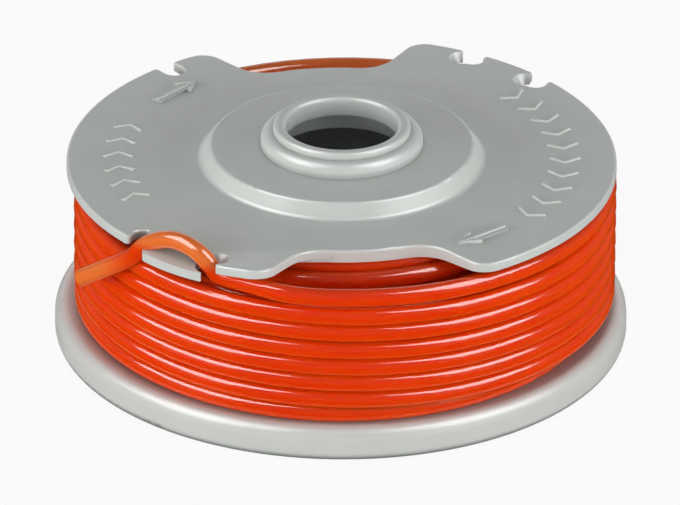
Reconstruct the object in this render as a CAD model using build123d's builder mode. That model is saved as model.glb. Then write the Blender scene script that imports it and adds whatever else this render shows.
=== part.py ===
"""Trimmer line spool: a one-piece moulded spool with nylon line wound on it.

The bore's axis is Z and the spool stands on the rim of its lower flange at z = 0. The two recesses of
the upper flange face +Y and -Y. Lengths are in millimetres, angles in degrees from +X.
"""

import os
from math import cos, radians, sin, tan

from build123d import *

# Lower flange: a thin web with a turned-down rim
flange_radius = 25.5
rim_height = 3.1
rim_wall = 1.7
rim_top_round = 1.2
rim_foot_round = 0.8
web_thickness = 1.5

# Drum, hollow and open below
drum_radius = 14.9
drum_wall = 1.5
hub_foot_lift = 0.5

# Upper flange: two lobes with a recess at front and back, thinner towards the edge
channel_height = 12.8
plate_thickness = 1.15
plate_edge_thickness = 0.8
plate_edge_round = 0.25
lobe_inset = 1.1
lobe_end_round = 2.0
recess_depth = 6.2
recess_mouth_half_angle = 22.9
recess_floor_half_angle = 17.8
recess_corner_round = 3.2

# Boss and stepped collar around the bore
bore_radius = 5.0
bore_length = 1.7
lip_wall = 1.1
lip_height = 0.65
lip_round = 0.4
collar_step = 1.1
collar_height = 1.3
collar_round = 0.9
collar_wall = 1.2
boss_top_radius = 11.7
boss_spread = 0.8
boss_height = 1.45
boss_edge_round = 0.35
boss_foot_round = 0.6

# Trimmer line and its winding
line_diameter = 1.6
layer_nesting = 0.94
winding_clearance = 0.1
top_turn_gap = 0.05
end_face_angle = 257.7
top_turn_sweep = 282.0

# Line notches in the upper flange: a slanted pair on each lobe and one radial notch
notch_clearance = 0.25
notch_depth = 2.35
notch_corner_round = 0.35
notch_slant = 27.0
notch_pair_angles = (35.6, 53.7)
single_notch_angle = 123.8
scoop_radius = 1.25
scoop_foot_radius = 0.45

# Where the line passes the threaded pair of notches, inward from their mouths
passage_inset = 1.2

# The land between the threaded pair is pressed down by the line, and spreads into their mouths
land_drop = 0.85
land_length = 2.8
land_spread = 0.4

# The lobe's tip beside the land is lifted by the line that comes up from under it
tip_lift_angle = 6.2
tip_hinge_end_angle = 260.0
tip_overlap = 0.3

# Raised arrows on the upper flange that show which way the line is wound
arrow_length = 5.4
arrow_shaft_width = 1.1
arrow_head_length = 2.1
arrow_head_width = 2.2
arrow_height = 0.22
arrow_radius = 19.65
arrow_angles = (131.6, 301.4)

# How far a cutting shape runs past what it cuts, and a bend's share of the shorter run beside it
cut_margin = 5.0
bend_share = 0.45

# Heights
plate_under = rim_height + channel_height
plate_top = plate_under + plate_thickness
boss_top = plate_top + boss_height
collar_top = boss_top + collar_height
lip_top = collar_top + lip_height
bore_foot = lip_top - bore_length

# Outer radii, and those of the hollow hub, which follows the outside with an even wall
lobe_radius = flange_radius - lobe_inset
recess_radius = lobe_radius - recess_depth
land_hinge_radius = lobe_radius - land_length
rim_inner_radius = flange_radius - rim_wall
lip_radius = bore_radius + lip_wall
collar_radius = lip_radius + collar_step
boss_base_radius = boss_top_radius + boss_spread
hub_radius = drum_radius - drum_wall
boss_hollow_radius = boss_top_radius - drum_wall
collar_hollow_radius = collar_radius - collar_wall

# Winding: the turns that fill the channel's height, and the layers that fill it out to the lobes
line_radius = line_diameter / 2
layer_spacing = line_diameter * layer_nesting
full_turns = int(channel_height / line_diameter) - 1
line_layers = int((lobe_radius - drum_radius) / layer_spacing)
winding_inner = drum_radius + winding_clearance
winding_top = plate_under - winding_clearance
outer_layer_radius = winding_inner + line_radius + (line_layers - 1) * layer_spacing
ridges_top = rim_height + full_turns * line_diameter
top_turn_height = ridges_top + line_radius + top_turn_gap

notch_width = line_diameter + notch_clearance
pair_notches = [(angle + half_turn, notch_slant) for angle in notch_pair_angles for half_turn in (0, 180)]
notches = [*pair_notches, (single_notch_angle, 0)]


def polar(radius, angle):
    """Point of the XY plane at a radius and an angle."""
    return (radius * cos(radians(angle)), radius * sin(radians(angle)))


def nearest(sketch, x, y):
    """The sketch's vertex nearest to a point of its plane."""
    return sketch.vertices().sort_by_distance((x, y, 0))[0]


def notch_place(angle, slant, inset, height=0):
    """A notch's place, an inset inward from its mouth, with the x axis pointing out of the mouth."""
    mouth_x, mouth_y = polar(lobe_radius, angle)
    out_x, out_y = polar(inset, angle + slant)
    return Location((mouth_x - out_x, mouth_y - out_y, height), (0, 0, angle + slant))


def land_hinge(angle, inset=0):
    """Where the land bends beside a threaded notch, inward from the notch's root."""
    root = notch_place(180 + angle, notch_slant, notch_depth).position
    return tuple(root.normalized() * (land_hinge_radius - inset))[:2]


def bend_radii(points):
    """The largest even bends that fit the runs of a route, one for each inner point."""
    radii = []
    for before, here, after in zip(points, points[1:], points[2:]):
        run_in = Vector(here) - Vector(before)
        run_out = Vector(after) - Vector(here)
        half_turn = radians(run_in.get_angle(run_out)) / 2
        radii.append(bend_share * min(run_in.length, run_out.length) / tan(half_turn))
    return radii


# Outline of the upper flange, seen from above: a disc with a recess cut into its front and back
with BuildSketch() as flange_outline:
    Circle(lobe_radius)
    for facing in (90, 270):
        with BuildLine():
            Polyline(
                polar(recess_radius - cut_margin, facing - recess_floor_half_angle),
                polar(recess_radius, facing - recess_floor_half_angle),
                polar(lobe_radius, facing - recess_mouth_half_angle),
                polar(lobe_radius + cut_margin, facing - recess_mouth_half_angle),
                polar(lobe_radius + cut_margin, facing + recess_mouth_half_angle),
                polar(lobe_radius, facing + recess_mouth_half_angle),
                polar(recess_radius, facing + recess_floor_half_angle),
                polar(recess_radius - cut_margin, facing + recess_floor_half_angle),
                close=True,
            )
        make_face(mode=Mode.SUBTRACT)
    Circle(recess_radius)
    for facing in (90, 270):
        for side in (-1, 1):
            lobe_corner = polar(lobe_radius, facing + side * recess_mouth_half_angle)
            fillet(nearest(flange_outline, *lobe_corner), lobe_end_round)
            floor_corner = polar(recess_radius, facing + side * recess_floor_half_angle)
            fillet(nearest(flange_outline, *floor_corner), recess_corner_round)
    for angle, slant in notches:
        with Locations(notch_place(angle, slant, 0)):
            SlotCenterToCenter(2 * notch_depth - notch_width, notch_width, mode=Mode.SUBTRACT)
        for side in (-1, 1):
            mouth = notch_place(angle, slant, 0) * Location((0, side * notch_width / 2, 0))
            fillet(nearest(flange_outline, mouth.position.X, mouth.position.Y), notch_corner_round)

# Flat plate of the upper flange: turned, thinner towards its edge, and trimmed to the outline
with BuildPart() as flange_plate:
    with BuildSketch(Plane.XZ):
        with BuildLine():
            Polyline(
                (hub_radius, plate_under),
                (recess_radius, plate_under),
                (lobe_radius, plate_top - plate_edge_thickness),
                (lobe_radius + cut_margin, plate_top - plate_edge_thickness),
                (lobe_radius + cut_margin, plate_top),
                (hub_radius, plate_top),
                close=True,
            )
        make_face()
    revolve(axis=Axis.Z)
    with BuildSketch(Plane.XY.offset(plate_under)):
        add(flange_outline.sketch)
    extrude(amount=plate_thickness, mode=Mode.INTERSECT)
    top_face = flange_plate.faces().filter_by(Plane.XY).sort_by(Axis.Z)[-1]
    fillet(top_face.outer_wire().edges(), plate_edge_round)

    # Conical scoops lead the line into the slanted notches
    for angle, slant in pair_notches:
        with Locations(notch_place(angle, slant, notch_depth / 2, plate_top)):
            with Locations((0, notch_width / 2, 0)):
                Cone(
                    scoop_foot_radius,
                    scoop_radius,
                    plate_thickness,
                    align=(Align.CENTER, Align.CENTER, Align.MAX),
                    mode=Mode.SUBTRACT,
                )

# Flat land between the threaded pair of notches, from the middle of one notch to the middle of the other
with BuildSketch() as flat_land:
    with BuildLine():
        land_corners = []
        for angle, steps in zip(notch_pair_angles, ((0, 1, 2), (2, 1, 0))):
            root = notch_place(180 + angle, notch_slant, notch_depth - notch_width / 2).position
            outside = notch_place(180 + angle, notch_slant, -notch_depth).position
            side = (land_hinge(angle), (root.X, root.Y), (outside.X, outside.Y))
            land_corners += [side[step] for step in steps]
        Polyline(land_corners, close=True)
    make_face()

# The land as the line presses it down: a thin slab that tilts outward from its hinge
with BuildPart() as pressed_land:
    land_angle = 180 + sum(notch_pair_angles) / 2
    hinge_x, hinge_y = polar(land_hinge_radius, land_angle)
    tilt_x, tilt_y = polar(land_drop / (lobe_radius - land_hinge_radius), land_angle)
    with BuildSketch(Plane.XY.offset(plate_under - land_drop)) as land_outline:
        with BuildLine():
            mouth_reach = notch_width / 2 - land_spread
            land_corners = []
            for angle, towards, steps in zip(notch_pair_angles, (1, -1), ((0, 1, 2), (2, 1, 0))):
                passage = notch_place(180 + angle, notch_slant, passage_inset)
                outside = passage * Location((3 * passage_inset, 3 * towards * mouth_reach, 0))
                side = [land_hinge(angle)]
                side += [(place.position.X, place.position.Y) for place in (passage, outside)]
                land_corners += [side[step] for step in steps]
            Polyline(land_corners, close=True)
        make_face()
        Circle(lobe_radius, mode=Mode.INTERSECT)
        for angle in notch_pair_angles:
            with Locations(notch_place(180 + angle, notch_slant, passage_inset)):
                Circle(notch_width / 2, mode=Mode.SUBTRACT)
    extrude(amount=plate_thickness + land_drop)
    with BuildSketch(Plane(origin=(hinge_x, hinge_y, plate_top), z_dir=(tilt_x, tilt_y, 1))):
        Circle(lobe_radius)
    extrude(amount=-plate_edge_thickness, mode=Mode.INTERSECT)

# Tip of the lobe: out from the line that it bends along, and a thin slab that starts an overlap inside it
tip_regions = []
for overlap in (0, tip_overlap):
    with BuildSketch() as tip_region:
        with BuildLine():
            root = notch_place(180 + notch_pair_angles[1], notch_slant, notch_depth - notch_width / 2).position
            outside = notch_place(180 + notch_pair_angles[1], notch_slant, -notch_depth).position
            Polyline(
                land_hinge(notch_pair_angles[1], overlap),
                (root.X, root.Y),
                (outside.X, outside.Y),
                polar(lobe_radius + cut_margin, tip_hinge_end_angle),
                polar(recess_radius - overlap, tip_hinge_end_angle),
                close=True,
            )
        make_face()
    tip_regions.append(tip_region.sketch)
with BuildPart() as flat_tip:
    add(flange_plate.part)
    with BuildSketch(Plane.XY.offset(plate_top - plate_edge_thickness)):
        add(tip_regions[1])
    extrude(amount=plate_edge_thickness, mode=Mode.INTERSECT)
hinge_start = Vector(*land_hinge(notch_pair_angles[1]), plate_top)
hinge_end = Vector(*polar(recess_radius, tip_hinge_end_angle), plate_top)
tip_hinge = Axis(hinge_end, hinge_start - hinge_end)

# Upper flange: the plate, with the land and the tip as the line bends them
with BuildPart() as upper_flange:
    add(flange_plate.part)
    with BuildSketch(Plane.XY.offset(plate_under)):
        add(flat_land.sketch)
        add(tip_regions[0])
    extrude(amount=plate_thickness, mode=Mode.SUBTRACT)
    add(pressed_land.part)
    add(flat_tip.part.rotate(tip_hinge, tip_lift_angle))
    arrow_barb = arrow_length / 2 - arrow_head_length
    with BuildSketch(Plane.XY.offset(plate_top)):
        for angle in arrow_angles:
            with Locations(Location((*polar(arrow_radius, angle), 0), (0, 0, angle - 90))):
                Polygon(
                    (arrow_length / 2, 0),
                    (arrow_barb, arrow_head_width / 2),
                    (arrow_barb, arrow_shaft_width / 2),
                    (-arrow_length / 2, arrow_shaft_width / 2),
                    (-arrow_length / 2, -arrow_shaft_width / 2),
                    (arrow_barb, -arrow_shaft_width / 2),
                    (arrow_barb, -arrow_head_width / 2),
                    align=None,
                )
    extrude(amount=arrow_height)

# Spool body: lower flange, drum, boss and collar turned in one section, with the upper flange on it
with BuildPart() as spool_body:
    with BuildSketch(Plane.XZ) as section:
        with BuildLine():
            Polyline(
                (rim_inner_radius, 0),
                (flange_radius, 0),
                (flange_radius, rim_height),
                (drum_radius, rim_height),
                (drum_radius, plate_top),
                (boss_base_radius, plate_top),
                (boss_top_radius, boss_top),
                (collar_radius, boss_top),
                (collar_radius, collar_top),
                (lip_radius, collar_top),
                (lip_radius, lip_top),
                (bore_radius, lip_top),
                (bore_radius, bore_foot),
                (collar_hollow_radius, bore_foot),
                (collar_hollow_radius, boss_top - drum_wall),
                (boss_hollow_radius, boss_top - drum_wall),
                (boss_hollow_radius, plate_top - drum_wall),
                (hub_radius, plate_top - drum_wall),
                (hub_radius, hub_foot_lift),
                (drum_radius, hub_foot_lift),
                (drum_radius, rim_height - web_thickness),
                (rim_inner_radius, rim_height - web_thickness),
                close=True,
            )
        make_face()
        fillet(nearest(section, flange_radius, rim_height), rim_top_round)
        fillet(nearest(section, flange_radius, 0), rim_foot_round)
        fillet(nearest(section, boss_base_radius, plate_top), boss_foot_round)
        fillet(nearest(section, boss_top_radius, boss_top), boss_edge_round)
        fillet(nearest(section, collar_radius, collar_top), collar_round)
        fillet(nearest(section, lip_radius, lip_top), lip_round)
        fillet(nearest(section, bore_radius, lip_top), lip_round)
    revolve(axis=Axis.Z)
    add(upper_flange.part)
spool_body.part.label = "spool_body"

# Winding: full turns as rounded ridges, the inner layers' top turns, and the top turn of the last layer
with BuildPart() as line_winding:
    shoulder_radius = outer_layer_radius - line_radius - winding_clearance
    crown_pitch = (shoulder_radius - winding_inner) / (line_layers - 1)
    crown_foot = winding_top - line_radius / 2
    with BuildSketch(Plane.XZ):
        with BuildLine():
            Polyline(
                (winding_inner, crown_foot),
                (winding_inner, rim_height),
                (outer_layer_radius, rim_height),
            )
            for turn in range(full_turns):
                turn_foot = rim_height + turn * line_diameter
                ThreePointArc(
                    (outer_layer_radius, turn_foot),
                    (outer_layer_radius + line_radius, turn_foot + line_radius),
                    (outer_layer_radius, turn_foot + line_diameter),
                )
            Polyline(
                (outer_layer_radius, ridges_top),
                (shoulder_radius, ridges_top),
                (shoulder_radius, crown_foot),
            )
            for layer in range(line_layers - 1):
                crown_edge = shoulder_radius - layer * crown_pitch
                ThreePointArc(
                    (crown_edge, crown_foot),
                    (crown_edge - crown_pitch / 2, winding_top),
                    (crown_edge - crown_pitch, crown_foot),
                )
        make_face()
    revolve(axis=Axis.Z)
    end_plane = Plane(
        origin=(0, 0, 0),
        x_dir=(*polar(1, end_face_angle), 0),
        z_dir=(*polar(1, end_face_angle - 90), 0),
    )
    with BuildSketch(end_plane):
        with Locations((outer_layer_radius, top_turn_height)):
            Circle(line_radius)
            Rectangle(line_diameter, line_diameter, align=(Align.MAX, Align.MAX))
    revolve(axis=Axis.Z, revolution_arc=top_turn_sweep)
line_winding.part.label = "line_winding"

# Free end of the line: straight off the winding's end face under the flange, up through one notch, over
# the land, down through the next notch and out beside the winding
first_run = 4.0
end_x, end_y = polar(outer_layer_radius, end_face_angle)
run_x, run_y = polar(first_run, end_face_angle - 90)
route = [
    (end_x, end_y, top_turn_height),
    (end_x + run_x, end_y + run_y, top_turn_height),
    (-13.80, -18.92, 15.15),
    (-14.33, -18.40, 17.35),
    (-15.55, -17.05, 17.78),
    (-18.20, -14.25, 17.78),
    (-19.25, -13.15, 17.25),
    (-19.50, -12.97, 15.2),
    (-21.87, -12.12, 14.7),
    (-24.60, -8.95, 10.9),
]
with BuildPart() as line_end:
    with BuildLine() as end_path:
        FilletPolyline(*route, radius=bend_radii(route))
    with BuildSketch(Plane(origin=end_path.line @ 0, z_dir=end_path.line % 0)):
        Circle(line_radius)
    sweep(path=end_path.line)
line_end.part.label = "line_end"

os.makedirs("parts", exist_ok=True)
export_step(spool_body.part, "parts/spool_body.step")
export_step(line_winding.part, "parts/line_winding.step")
export_step(line_end.part, "parts/line_end.step")
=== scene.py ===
"""Looks of a trimmer line spool: moulded grey plastic with glossy nylon line wound on it.

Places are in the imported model's frame. Sizes of the object are written in millimetres and turned into metres
by mm(), and those of the stage are in metres. Angles are in degrees from +X, and a light's azimuth is counted
from the camera's, to its right.
"""

import math
from typing import NamedTuple

import bmesh
import bpy
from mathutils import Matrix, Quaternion, Vector


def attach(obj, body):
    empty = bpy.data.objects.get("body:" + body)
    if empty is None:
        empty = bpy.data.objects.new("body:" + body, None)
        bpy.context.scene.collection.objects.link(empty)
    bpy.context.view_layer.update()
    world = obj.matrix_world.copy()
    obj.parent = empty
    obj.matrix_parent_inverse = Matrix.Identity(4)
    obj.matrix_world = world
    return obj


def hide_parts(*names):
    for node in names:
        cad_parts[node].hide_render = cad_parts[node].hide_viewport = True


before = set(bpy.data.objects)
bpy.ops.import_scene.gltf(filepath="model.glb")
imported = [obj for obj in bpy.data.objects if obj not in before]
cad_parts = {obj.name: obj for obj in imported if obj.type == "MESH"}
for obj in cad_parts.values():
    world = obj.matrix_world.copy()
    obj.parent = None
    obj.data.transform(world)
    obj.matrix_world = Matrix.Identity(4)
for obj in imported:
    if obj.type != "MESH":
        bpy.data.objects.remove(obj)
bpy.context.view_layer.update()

BODY = "root"

# Camera, as the photograph was taken
CAMERA_PLACE = (-0.1153, -0.9000, 0.4726)
CAMERA_AIM = (-0.0001, 0.0, 0.00757)
CAMERA_ROLL = 0.33
CAMERA_LENS = 606.15
CAMERA_NEAR = 0.01
CAMERA_FAR = 20.0
SENSOR_WIDTH = 36.0
CAMERA_ANGLE = math.degrees(math.atan2(CAMERA_PLACE[1], CAMERA_PLACE[0]))

# Line, in millimetres
LINE_DIAMETER = 1.6
LINE_BEVEL_STEPS = 6
LINE_STEPS = 3

# Winding, in millimetres and turns: inner layers that climb and fall in turn, and the outer layer that shows
LAYERS = 6
INNER_LAYER_RADIUS = 15.8
LAYER_SPACING = 1.504
LAYER_TURNS = 7.9
OUTER_TURNS = 7
POINTS_PER_TURN = 24
LOWEST_TURN = 3.8
HIGHEST_TURNS = (15.1, 15.1, 14.9, 13.5, 13.5)
# Share of its climb by which an inner layer would overrun each end, where it lies level instead
CLIMB_OVERRUN = 0.05
# Turns that lead from one layer to the next
LAYER_CHANGE_TURNS = 0.3
# Where the outer layer ends, how far it lies to one side, and towards which angle
END_ANGLE = 257.7
SIDE_SHIFT = 0.33
SIDE_SHIFT_ANGLE = 352.7
# Heights of the outer layer's turns where they cross the front, and how much steeper each climbs there
FRONT_HEIGHTS = (3.75, 5.14, 6.8, 8.35, 9.98, 11.7, 13.3, 15.1)
FRONT_STEEPNESS = (0.0, 0.16, 0.16, 0.16, 0.16, 0.16, 0.16, 0.1)
# How much higher each of those turns goes round the back
BACK_RISE = (0.0, 0.0, 0.0, 0.05, 0.1, 0.2, 0.4)

# Free end of the line: along the winding, up through a notch, over the land, down the next and out to its tip
FREE_END = (
    (-5.0, -22.98, 15.1),
    (-8.3, -22.1, 15.35),
    (-10.9, -20.4, 15.65),
    (-13.3, -18.45, 15.5),
    (-13.95, -18.55, 16.75),
    (-14.9, -17.75, 17.65),
    (-16.1, -16.5, 17.95),
    (-17.4, -15.2, 17.75),
    (-19.2, -13.5, 16.3),
    (-19.75, -12.85, 14.95),
    (-22.0, -11.1, 13.05),
    (-24.3, -9.2, 11.15),
)

# Where the line is painted a lighter orange, as if lit through: where it stands free of the winding over the
# flange and beside it, and on its top turn in the back recess
FREE_HEIGHTS = (16.0, 17.2)
FREE_RADII = (24.2, 25.6)
BACK_DEPTHS = (17.0, 21.0)
BACK_HEIGHTS = (13.9, 14.7)
# How far the winding's normals lean outward, and the heights between which they stop doing so
NORMAL_LEAN = 0.6
LEAN_HEIGHTS = (13.4, 14.9)

# Raised direction marks on the upper flange, with round crests: plain chevrons, and ridges on the arrows
PLATE_TOP = 17.05
MARK_ROUND = 0.22
MARK_BEVEL_STEPS = 3
CHEVRON_ANGLES = (*range(-39, 34, 8), *range(157, 198, 8))
CHEVRON_RADII = (18.5, 19.8, 21.1)
CHEVRON_LEADS = (0, 2.6, 0)
CHEVRON_SINK = 0.05
ARROW_ANGLES = (131.6, 301.4)
ARROW_RADIUS = 19.65
ARROW_LENGTH = 5.2
ARROW_TOP = 17.27
ARROW_SINK = 0.08
# Places on an arrow, back from its tip, and how far its barbs stand aside
SHAFT_END = 0.3
HEAD_TIP = 0.2
HEAD_BARBS = 1.9
BARB_SPREAD = 0.85

# Floor, and the dark card that lies on it, with their levels in millimetres
FLOOR_RADIUS = 3.0
FLOOR_SEGMENTS = 96
FLOOR_LEVEL = -0.02
FLOOR_WHITENESS = 0.92
CARD_RADIUS = 0.8
CARD_SEGMENTS = 64
CARD_LEVEL = -0.01

WORLD_LIGHT = 0.16


class LampKind(NamedTuple):
    """Soft lights of one kind around the spool, each with its own azimuth, width and radiance."""

    elevation: float
    distance: float
    height: float
    gloss_only: bool
    lights: tuple


# Fills light the spool without showing in gloss, and strips show in gloss alone
LAMPS = {
    "low_fill": LampKind(
        elevation=8,
        distance=1.3,
        height=0.5,
        gloss_only=False,
        lights=((-90, 1.0, 3.9), (-50, 1.0, 5.0), (0, 1.0, 0.9), (50, 1.0, 4.7), (90, 1.0, 3.4)),
    ),
    "high_fill": LampKind(
        elevation=47,
        distance=0.6,
        height=0.13,
        gloss_only=False,
        lights=((-110, 0.9, 0.15), (22, 0.9, 0.8), (180, 0.9, 1.7)),
    ),
    "gloss_strip": LampKind(
        elevation=50,
        distance=0.6,
        height=0.46,
        gloss_only=True,
        lights=((-75, 0.5, 10.0), (71, 0.42, 10.0)),
    ),
    "low_strip": LampKind(
        elevation=12,
        distance=1.0,
        height=0.5,
        gloss_only=True,
        lights=((-64, 0.5, 0.35), (52, 0.42, 0.35), (180, 1.0, 0.9)),
    ),
}


def mm(*lengths):
    """Millimetres as metres: one number, or a vector of several."""
    metres = [length * 0.001 for length in lengths]
    return metres[0] if len(metres) == 1 else Vector(metres)


def polar(radius, angle):
    """Point of the XY plane at a radius and an angle."""
    return radius * math.cos(math.radians(angle)), radius * math.sin(math.radians(angle))


def between(first, second, share):
    """A number at a share of the way from one to another."""
    return first + share * (second - first)


def held(share):
    """A share held between 0 and 1."""
    return min(max(share, 0.0), 1.0)


def smooth(share):
    """A share from 0 to 1 with soft ends, held at 0 and 1 outside them."""
    share = held(share)
    return share * share * (3 - 2 * share)


def new_object(name, data):
    """A new object in the scene."""
    made = bpy.data.objects.new(name, data)
    bpy.context.scene.collection.objects.link(made)
    return made


# Materials


class Paint:
    """A new material made of nodes. Each input takes a value or another node's output."""

    # A Mix node's two inputs and its output, for each kind of data that it mixes
    MIX_SOCKETS = {"VECTOR": (4, 5, 1), "RGBA": (6, 7, 2)}

    def __init__(self, name):
        self.material = bpy.data.materials.new(name)
        self.material.use_nodes = True
        self.tree = self.material.node_tree
        self.shader = self.tree.nodes["Principled BSDF"]

    def feed(self, node, inputs):
        """Sets a node's inputs, by name or by number."""
        for key, value in inputs.items():
            if isinstance(value, bpy.types.NodeSocket):
                self.tree.links.new(value, node.inputs[key])
            else:
                node.inputs[key].default_value = value

    def add(self, kind, inputs=None, **settings):
        """A new node with its settings and inputs."""
        node = self.tree.nodes.new(kind)
        for key, value in settings.items():
            setattr(node, key, value)
        self.feed(node, inputs or {})
        return node

    def noise(self, place, scale, detail):
        """Noise over a place, its scale in features per metre."""
        inputs = {"Vector": place, "Scale": scale, "Detail": detail}
        return self.add("ShaderNodeTexNoise", inputs).outputs["Fac"]

    def tint(self, share, *stops):
        """A colour that changes with a share, between two stops of a share and a colour."""
        node = self.add("ShaderNodeValToRGB", {"Fac": share})
        for element, (position, colour) in zip(node.color_ramp.elements, stops):
            element.position = position
            element.color = (*colour, 1)
        return node.outputs["Color"]

    def spread(self, value, ends=(0.0, 1.0), results=(0.0, 1.0), kind="LINEAR"):
        """A result that follows a value between its ends and is held outside them."""
        limits = dict(zip(("From Min", "From Max", "To Min", "To Max"), (*ends, *results)))
        node = self.add("ShaderNodeMapRange", {"Value": value, **limits}, interpolation_type=kind)
        return node.outputs["Result"]

    def past(self, distance, limits, results=(0.0, 1.0)):
        """A result that changes softly where a distance passes two limits in millimetres."""
        return self.spread(distance, mm(*limits), results, "SMOOTHSTEP")

    def maths(self, operation, first, second):
        """The result of an operation on two numbers."""
        return self.add("ShaderNodeMath", {0: first, 1: second}, operation=operation).outputs["Value"]

    def vector_maths(self, operation, *vectors):
        """The outputs of an operation on vectors."""
        return self.add("ShaderNodeVectorMath", dict(enumerate(vectors)), operation=operation).outputs

    def mix(self, kind, share, first, second):
        """A colour or a vector between two, by the share of the second."""
        first_input, second_input, output = self.MIX_SOCKETS[kind]
        inputs = {"Factor": share, first_input: first, second_input: second}
        return self.add("ShaderNodeMix", inputs, data_type=kind).outputs[output]


def spool_plastic():
    """Grey moulded plastic: faint mottling, a satin skin, a fine spark-eroded grain and painted shade in tight
    corners and near the line.
    """
    paint = Paint("spool_plastic")
    place = paint.add("ShaderNodeTexCoord").outputs["Object"]
    unshaded_tint = paint.tint(
        paint.noise(place, 240, 5),
        (0.3, (0.6, 0.632, 0.605)),
        (0.7, (0.635, 0.668, 0.64)),
    )
    # Painted shade darkens the plastic where it is close to the line or in a tight corner, where shade falls
    openness = paint.add("ShaderNodeAmbientOcclusion", {"Distance": mm(1.8)}, samples=8).outputs["AO"]
    unshaded_share = paint.spread(openness, (0.3, 0.85), (0.3, 1.0), "SMOOTHSTEP")
    # Colour of the painted shade in corners and beside the line
    painted_shade = (0.13, 0.155, 0.15, 1)
    grain = {"Strength": 0.12, "Distance": mm(0.03), "Height": paint.noise(place, 5200, 2)}
    skin = {
        "Base Color": paint.mix("RGBA", unshaded_share, painted_shade, unshaded_tint),
        "Roughness": paint.spread(paint.noise(place, 700, 3), results=(0.3, 0.4)),
        "Normal": paint.add("ShaderNodeBump", grain).outputs["Normal"],
        "IOR": 1.5,
    }
    paint.feed(paint.shader, skin)
    return paint.material


def trimmer_line():
    """Glossy orange-red nylon: deep in the winding, with painted light that makes it a lighter orange, as if
    lit through, where it stands free of the winding and on its top turn at the back.
    """
    paint = Paint("trimmer_line")
    place = paint.add("ShaderNodeTexCoord").outputs["Object"]
    axes = paint.add("ShaderNodeSeparateXYZ", {"Vector": place}).outputs
    level = paint.vector_maths("MULTIPLY", place, (1, 1, 0))["Vector"]
    radius = paint.vector_maths("LENGTH", level)["Value"]
    outward = paint.vector_maths("NORMALIZE", level)["Vector"]
    outside = paint.past(radius, FREE_RADII)
    free_end = paint.maths("MAXIMUM", paint.past(axes["Z"], FREE_HEIGHTS), outside)
    behind = paint.past(axes["Y"], BACK_DEPTHS)
    back_turn_glow = paint.maths("MULTIPLY", behind, paint.past(axes["Z"], BACK_HEIGHTS))
    # Share of painted light: the line is painted lighter where it stands free and on its top turn at the back
    free = paint.maths("MAXIMUM", free_end, back_turn_glow)
    wound_colour = paint.tint(
        paint.noise(place, 160, 2),
        (0.3, (0.78, 0.047, 0.0016)),
        (0.7, (0.83, 0.056, 0.0022)),
    )
    # Painted light: the lighter orange of the line where it looks lit through
    painted_glow_colour = (0.86, 0.18, 0.03, 1)
    # The winding is lit as if through: normals lean outward, and light spreads in it under a clear skin
    side = paint.past(axes["Z"], LEAN_HEIGHTS, (NORMAL_LEAN, 0.0))
    lean = paint.maths("MULTIPLY", side, paint.maths("SUBTRACT", 1.0, outside))
    normal = paint.add("ShaderNodeNewGeometry").outputs["Normal"]
    nylon = {
        "Base Color": paint.mix("RGBA", free, wound_colour, painted_glow_colour),
        "Roughness": paint.spread(paint.noise(place, 900, 2), results=(0.85, 1.0)),
        "Normal": paint.mix("VECTOR", lean, normal, outward),
        "Specular IOR Level": 0.0,
        "Subsurface Weight": paint.maths("SUBTRACT", 1.0, free),
        "Subsurface Radius": (1.0, 0.3, 0.1),
        "Subsurface Scale": mm(1.4),
        "Coat Weight": 1.0,
        "Coat IOR": 1.53,
        "Coat Roughness": 0.13,
    }
    paint.feed(paint.shader, nylon)
    return paint.material


def matt(name, grey, roughness):
    """Matt paint of one grey."""
    paint = Paint(name)
    paint.feed(
        paint.shader,
        {"Base Color": (grey, grey, grey, 1), "Roughness": roughness, "Specular IOR Level": 0.0},
    )
    return paint


def floor_white():
    """Pale floor, white to the camera, to gloss and through clear things, that softly keeps the shadow."""
    paint = matt("floor_white", 0.88, 0.9)
    rays = paint.add("ShaderNodeLightPath").outputs
    seen = paint.maths("MAXIMUM", rays["Is Camera Ray"], rays["Is Glossy Ray"])
    seen = paint.maths("MAXIMUM", seen, rays["Is Transmission Ray"])
    layers = {
        "Fac": paint.maths("MULTIPLY", seen, FLOOR_WHITENESS),
        1: paint.shader.outputs["BSDF"],
        2: paint.add("ShaderNodeEmission", {"Color": (1, 1, 1, 1)}).outputs["Emission"],
    }
    surface = paint.add("ShaderNodeMixShader", layers).outputs["Shader"]
    paint.feed(paint.tree.nodes["Material Output"], {"Surface": surface})
    return paint.material


def card_black():
    """Dark dull card."""
    return matt("dark_card", 0.02, 1.0).material


# Line and marks


def new_tube(name, radius, bevel_steps, material):
    """A curve without splines yet, drawn as a round tube with closed ends."""
    curve = bpy.data.curves.new(name, "CURVE")
    curve.dimensions = "3D"
    curve.bevel_depth = radius
    curve.bevel_resolution = bevel_steps
    curve.use_fill_caps = True
    curve.materials.append(material)
    return curve


def new_spline(curve, kind, points):
    """A spline of a curve, with its points in metres."""
    spline = curve.splines.new(kind)
    spline.points.add(len(points) - 1)
    for place, point in zip(spline.points, points):
        place.co = (*point, 1)
    return spline


def outer_height(turn):
    """Height of the outer layer at a turn: whole turns cross the front, where each climbs faster."""
    below = min(int(turn), len(FRONT_HEIGHTS) - 2)
    share = turn - below
    level = between(*FRONT_HEIGHTS[below : below + 2], share)
    steepness = between(*FRONT_STEEPNESS[below : below + 2], share)
    return level + steepness * math.sin(math.tau * turn) + BACK_RISE[below] * math.sin(math.pi * share)


def layer_height(layer, share):
    """Height of an inner layer at a share of its turns: up one layer and down the next."""
    climb = share * (1 + 2 * CLIMB_OVERRUN) - CLIMB_OVERRUN
    if (LAYERS - layer) % 2 == 0:
        climb = 1 - climb
    return between(LOWEST_TURN, HIGHEST_TURNS[layer], held(climb))


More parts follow.
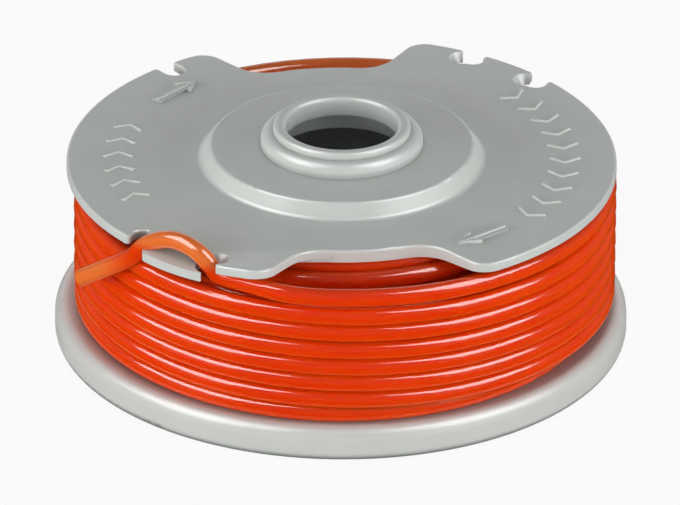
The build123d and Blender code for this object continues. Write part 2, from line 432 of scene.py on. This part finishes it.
def winding_points():
    """Control points of the wound layers, from the drum outward, clockwise seen from above."""
    # The curve cuts the corners of its control points, so they lie a little further out
    corner_cut = (3 + math.cos(math.tau / POINTS_PER_TURN)) / 4
    all_turns = LAYER_TURNS * (LAYERS - 1) + OUTER_TURNS
    points = []
    for step in range(round(all_turns * POINTS_PER_TURN)):
        turn = step / POINTS_PER_TURN
        layer = min(int(turn / LAYER_TURNS), LAYERS - 1)
        done = turn - layer * LAYER_TURNS
        if layer == LAYERS - 1:
            height = outer_height(done)
            change = 0.0
        else:
            height = layer_height(layer, done / LAYER_TURNS)
            change = smooth((done - LAYER_TURNS) / LAYER_CHANGE_TURNS + 1)
        angle = END_ANGLE + 360 * (all_turns - turn)
        shift = SIDE_SHIFT * math.cos(math.radians(angle - SIDE_SHIFT_ANGLE)) / (LAYERS - 1)
        radius = INNER_LAYER_RADIUS + (layer + change) * (LAYER_SPACING + shift)
        points.append(mm(*polar(radius / corner_cut, angle), height))
    return points


def make_line():
    """The whole line as one open spline, wound on the drum, its free end threaded through the notches."""
    points = [*winding_points(), *(mm(*point) for point in FREE_END)]
    curve = new_tube("trimmer_line", mm(LINE_DIAMETER) / 2, LINE_BEVEL_STEPS, trimmer_line())
    spline = new_spline(curve, "NURBS", points)
    spline.order_u = 3
    spline.use_endpoint_u = True
    spline.resolution_u = LINE_STEPS
    line = new_object("trimmer_line", curve)
    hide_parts("line_winding", "line_end")
    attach(line, BODY)


def chevron_strokes(angle):
    """A chevron as one stroke, whose middle leads its ends clockwise."""
    height = PLATE_TOP - CHEVRON_SINK
    corners = zip(CHEVRON_RADII, CHEVRON_LEADS)
    return [[(*polar(radius, angle - lead), height) for radius, lead in corners]]


def arrow_strokes(angle):
    """The ridges of an arrow that points clockwise: its shaft and its head."""
    centre = polar(ARROW_RADIUS, angle)
    ahead = polar(1, angle - 90)
    across = polar(1, angle)

    def point(forward, aside):
        """A point of the arrow, by how far ahead of its middle and how far aside it is."""
        place = [middle + forward * step + aside * turn for middle, step, turn in zip(centre, ahead, across)]
        return (*place, ARROW_TOP - ARROW_SINK)

    tip = ARROW_LENGTH / 2
    barb = tip - HEAD_BARBS
    shaft = [point(-tip, 0), point(tip - SHAFT_END, 0)]
    head = [point(barb, BARB_SPREAD), point(tip - HEAD_TIP, 0), point(barb, -BARB_SPREAD)]
    return [shaft, head]


def make_marks():
    """Raised chevrons and ridges that show which way the line is wound."""
    # They wear the frame's own material of this name, which is plainer than the one made above
    plastic = bpy.data.materials["spool_plastic"]
    curve = new_tube("direction_marks", mm(MARK_ROUND), MARK_BEVEL_STEPS, plastic)
    for angles, strokes_of in ((CHEVRON_ANGLES, chevron_strokes), (ARROW_ANGLES, arrow_strokes)):
        for angle in angles:
            for stroke in strokes_of(angle):
                new_spline(curve, "POLY", [mm(*point) for point in stroke])
    marks = new_object("direction_marks", curve)
    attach(marks, BODY)


# Stage


def make_disc(name, radius, segments, level, material):
    """A disc of the stage under the spool, its level in millimetres."""
    mesh = bpy.data.meshes.new(name)
    form = bmesh.new()
    bmesh.ops.create_circle(form, cap_ends=True, segments=segments, radius=radius)
    form.to_mesh(mesh)
    form.free()
    mesh.materials.append(material)
    disc = new_object(name, mesh)
    disc.location.z = mm(level)
    return disc


def make_floor():
    """A wide round floor under the spool."""
    make_disc("floor", FLOOR_RADIUS, FLOOR_SEGMENTS, FLOOR_LEVEL, floor_white())


def make_dark_card():
    """A dark disc on the floor that only gloss sees, so that the line keeps its depth of colour."""
    card = make_disc("dark_card", CARD_RADIUS, CARD_SEGMENTS, CARD_LEVEL, card_black())
    card.visible_camera = False
    card.visible_diffuse = False
    card.visible_transmission = False
    card.visible_shadow = False


def make_lamp(name, kind, azimuth, width, radiance):
    """A rectangular soft light that looks at the spool, its azimuth counted from the camera's."""
    light = bpy.data.lights.new(name, "AREA")
    light.shape = "RECTANGLE"
    light.size = width
    light.size_y = kind.height
    light.energy = radiance * math.pi * width * kind.height
    lamp = new_object(name, light)
    along, up = polar(kind.distance, kind.elevation)
    away = Vector((*polar(along, CAMERA_ANGLE + azimuth), up))
    lamp.location = away + Vector(CAMERA_AIM)
    lamp.rotation_mode = "QUATERNION"
    lamp.rotation_quaternion = (-away).to_track_quat("-Z", "Y")
    lamp.visible_glossy = kind.gloss_only
    lamp.visible_diffuse = not kind.gloss_only
    lamp.visible_camera = False


def make_lamps():
    """The lights of every kind, around the spool."""
    for name, kind in LAMPS.items():
        for azimuth, width, radiance in kind.lights:
            make_lamp(f"{name}_{azimuth}", kind, azimuth, width, radiance)


def make_world():
    """Even dim light from all around."""
    world = bpy.data.worlds.new("studio")
    bpy.context.scene.world = world
    world.use_nodes = True
    around = world.node_tree.nodes["Background"]
    around.inputs["Color"].default_value = (1, 1, 1, 1)
    around.inputs["Strength"].default_value = WORLD_LIGHT


def make_camera():
    """The camera at the photograph's angle."""
    data = bpy.data.cameras.new("camera")
    data.sensor_width = SENSOR_WIDTH
    data.lens = CAMERA_LENS
    data.clip_start = CAMERA_NEAR
    data.clip_end = CAMERA_FAR
    camera = new_object("camera", data)
    camera.location = CAMERA_PLACE
    camera.rotation_mode = "QUATERNION"
    look = (Vector(CAMERA_AIM) - Vector(CAMERA_PLACE)).to_track_quat("-Z", "Y")
    camera.rotation_quaternion = look @ Quaternion((0, 0, 1), math.radians(CAMERA_ROLL))
    bpy.context.scene.camera = camera


make_camera()
make_line()

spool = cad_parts["spool_body"]
spool.data.materials.clear()
spool.data.materials.append(spool_plastic())
make_marks()

make_floor()
make_world()
make_lamps()
make_dark_card()

bpy.context.scene.view_settings.view_transform = "Standard"
